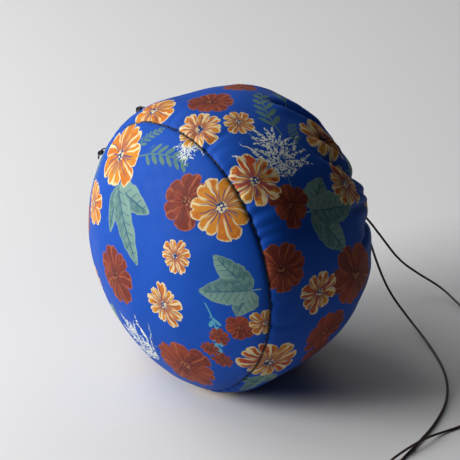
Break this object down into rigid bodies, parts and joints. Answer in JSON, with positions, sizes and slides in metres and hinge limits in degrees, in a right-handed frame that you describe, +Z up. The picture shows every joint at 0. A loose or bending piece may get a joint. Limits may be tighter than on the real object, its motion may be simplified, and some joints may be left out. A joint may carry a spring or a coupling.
{
  "type": "stuffed fabric juggling ball",
  "caption": "Stuffed printed-cloth ball with a domed round end panel, a gathered side wall and a drawcord mouth whose two cord tails end in a knot.",
  "frame": {"origin": "on the surface that the ball rests on, halfway along the ball", "axes": "+X along the ball's own axis towards the gathered mouth, -X towards the round end panel, +Z up"},
  "size_m": [0.1536, 0.1656, 0.1185],
  "materials": {
    "printed_cloth": "satin cotton, blue with an orange, rust and grey-green flower print",
    "black_thread": "black sewing thread",
    "waxed_cord": "dark brown waxed cotton cord",
    "inner_cloth": "plain unbleached cotton",
    "white_thread": "off-white sewing thread",
    "fibre_filling": "packed polyester fibre"
  },
  "bodies": {
    "root": {"end_panel": "printed_cloth", "side_panel": "printed_cloth", "mouth_hem": "printed_cloth", "end_seam_thread": "black_thread", "side_seam_thread": "black_thread", "thread_tie_knots": "black_thread", "drawcord_in_hem": "waxed_cord", "drawcord_long_tail": "waxed_cord", "drawcord_short_tail": "waxed_cord", "drawcord_end_knot": "waxed_cord", "inner_bag_end": "inner_cloth", "inner_bag_wall": "inner_cloth", "inner_bag_thread": "white_thread", "filling": "fibre_filling"}
  },
  "joints": []
}
